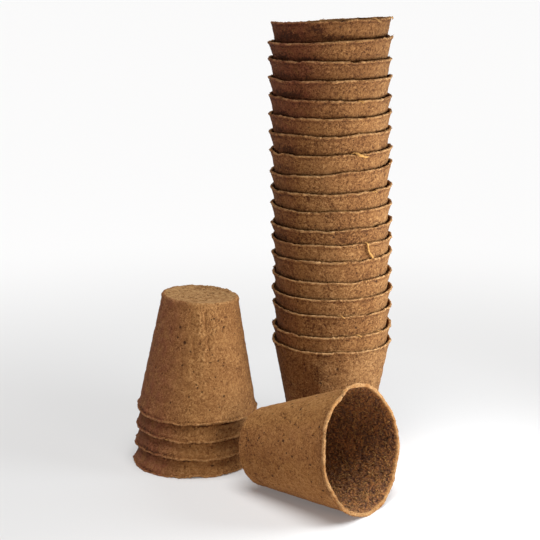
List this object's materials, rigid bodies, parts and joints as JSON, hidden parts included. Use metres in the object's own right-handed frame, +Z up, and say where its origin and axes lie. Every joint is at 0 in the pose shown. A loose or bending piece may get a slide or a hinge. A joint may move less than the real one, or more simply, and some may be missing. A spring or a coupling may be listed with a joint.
{
  "type": "set of round moulded peat pots",
  "caption": "Round tapered moulded-peat plant pots with a rolled lip: a tall nested stack, a short upturned stack and a loose pot on its side.",
  "frame": {"origin": "on the supporting surface, at the centre in plan of the box round the whole set", "axes": "+Z up along the tall stack, +X to the right and +Y to the back as seen from the front, where the loose pot lies"},
  "size_m": [0.172, 0.1838, 0.2921],
  "materials": {
    "moulded_peat": "matte"
  },
  "bodies": {
    "stack_pot_01": {"stack_pot_01": "moulded_peat"},
    "stack_pot_02": {"stack_pot_02": "moulded_peat"},
    "stack_pot_03": {"stack_pot_03": "moulded_peat"},
    "stack_pot_04": {"stack_pot_04": "moulded_peat"},
    "stack_pot_05": {"stack_pot_05": "moulded_peat"},
    "stack_pot_06": {"stack_pot_06": "moulded_peat"},
    "stack_pot_07": {"stack_pot_07": "moulded_peat"},
    "stack_pot_08": {"stack_pot_08": "moulded_peat"},
    "stack_pot_09": {"stack_pot_09": "moulded_peat"},
    "stack_pot_10": {"stack_pot_10": "moulded_peat"},
    "stack_pot_11": {"stack_pot_11": "moulded_peat"},
    "stack_pot_12": {"stack_pot_12": "moulded_peat"},
    "stack_pot_13": {"stack_pot_13": "moulded_peat"},
    "stack_pot_14": {"stack_pot_14": "moulded_peat"},
    "stack_pot_15": {"stack_pot_15": "moulded_peat"},
    "stack_pot_16": {"stack_pot_16": "moulded_peat"},
    "stack_pot_17": {"stack_pot_17": "moulded_peat"},
    "stack_pot_18": {"stack_pot_18": "moulded_peat"},
    "stack_pot_19": {"stack_pot_19": "moulded_peat"},
    "upturned_pot_1": {"upturned_pot_1": "moulded_peat"},
    "upturned_pot_2": {"upturned_pot_2": "moulded_peat"},
    "upturned_pot_3": {"upturned_pot_3": "moulded_peat"},
    "upturned_pot_4": {"upturned_pot_4": "moulded_peat"},
    "loose_pot": {"loose_pot": "moulded_peat"}
  },
  "joints": [
    {"name": "stack_pot_02_lift", "type": "slide", "parent": "stack_pot_01", "child": "stack_pot_02", "axis": [0, 0, 1], "range_m": [0, 0.08]},
    {"name": "stack_pot_03_lift", "type": "slide", "parent": "stack_pot_02", "child": "stack_pot_03", "axis": [0, 0, 1], "range_m": [0, 0.08]},
    {"name": "stack_pot_04_lift", "type": "slide", "parent": "stack_pot_03", "child": "stack_pot_04", "axis": [0, 0, 1], "range_m": [0, 0.08]},
    {"name": "stack_pot_05_lift", "type": "slide", "parent": "stack_pot_04", "child": "stack_pot_05", "axis": [0, 0, 1], "range_m": [0, 0.08]},
    {"name": "stack_pot_06_lift", "type": "slide", "parent": "stack_pot_05", "child": "stack_pot_06", "axis": [0, 0, 1], "range_m": [0, 0.08]},
    {"name": "stack_pot_07_lift", "type": "slide", "parent": "stack_pot_06", "child": "stack_pot_07", "axis": [0, 0, 1], "range_m": [0, 0.08]},
    {"name": "stack_pot_08_lift", "type": "slide", "parent": "stack_pot_07", "child": "stack_pot_08", "axis": [0, 0, 1], "range_m": [0, 0.08]},
    {"name": "stack_pot_09_lift", "type": "slide", "parent": "stack_pot_08", "child": "stack_pot_09", "axis": [0, 0, 1], "range_m": [0, 0.08]},
    {"name": "stack_pot_10_lift", "type": "slide", "parent": "stack_pot_09", "child": "stack_pot_10", "axis": [0, 0, 1], "range_m": [0, 0.08]},
    {"name": "stack_pot_11_lift", "type": "slide", "parent": "stack_pot_10", "child": "stack_pot_11", "axis": [0, 0, 1], "range_m": [0, 0.08]},
    {"name": "stack_pot_12_lift", "type": "slide", "parent": "stack_pot_11", "child": "stack_pot_12", "axis": [0, 0, 1], "range_m": [0, 0.08]},
    {"name": "stack_pot_13_lift", "type": "slide", "parent": "stack_pot_12", "child": "stack_pot_13", "axis": [0, 0, 1], "range_m": [0, 0.08]},
    {"name": "stack_pot_14_lift", "type": "slide", "parent": "stack_pot_13", "child": "stack_pot_14", "axis": [0, 0, 1], "range_m": [0, 0.08]},
    {"name": "stack_pot_15_lift", "type": "slide", "parent": "stack_pot_14", "child": "stack_pot_15", "axis": [0, 0, 1], "range_m": [0, 0.08]},
    {"name": "stack_pot_16_lift", "type": "slide", "parent": "stack_pot_15", "child": "stack_pot_16", "axis": [0, 0, 1], "range_m": [0, 0.08]},
    {"name": "stack_pot_17_lift", "type": "slide", "parent": "stack_pot_16", "child": "stack_pot_17", "axis": [0, 0, 1], "range_m": [0, 0.08]},
    {"name": "stack_pot_18_lift", "type": "slide", "parent": "stack_pot_17", "child": "stack_pot_18", "axis": [0, 0, 1], "range_m": [0, 0.08]},
    {"name": "stack_pot_19_lift", "type": "slide", "parent": "stack_pot_18", "child": "stack_pot_19", "axis": [0, 0, 1], "range_m": [0, 0.08]},
    {"name": "upturned_pot_1_lift", "type": "slide", "parent": "stack_pot_01", "child": "upturned_pot_1", "axis": [0, 0, 1], "range_m": [0, 0.08]},
    {"name": "upturned_pot_2_lift", "type": "slide", "parent": "upturned_pot_1", "child": "upturned_pot_2", "axis": [0.007, 0, 1], "range_m": [0, 0.08]},
    {"name": "upturned_pot_3_lift", "type": "slide", "parent": "upturned_pot_2", "child": "upturned_pot_3", "axis": [0.014, 0, 0.9999], "range_m": [0, 0.08]},
    {"name": "upturned_pot_4_lift", "type": "slide", "parent": "upturned_pot_3", "child": "upturned_pot_4", "axis": [0.0209, 0, 0.9998], "range_m": [0, 0.08]},
    {"name": "loose_pot_roll", "type": "hinge", "parent": "stack_pot_01", "child": "loose_pot", "pos_m": [-0.09665, 0.0619, 0], "axis": [0, 0, 1], "range_deg": [-70, 6]}
  ]
}
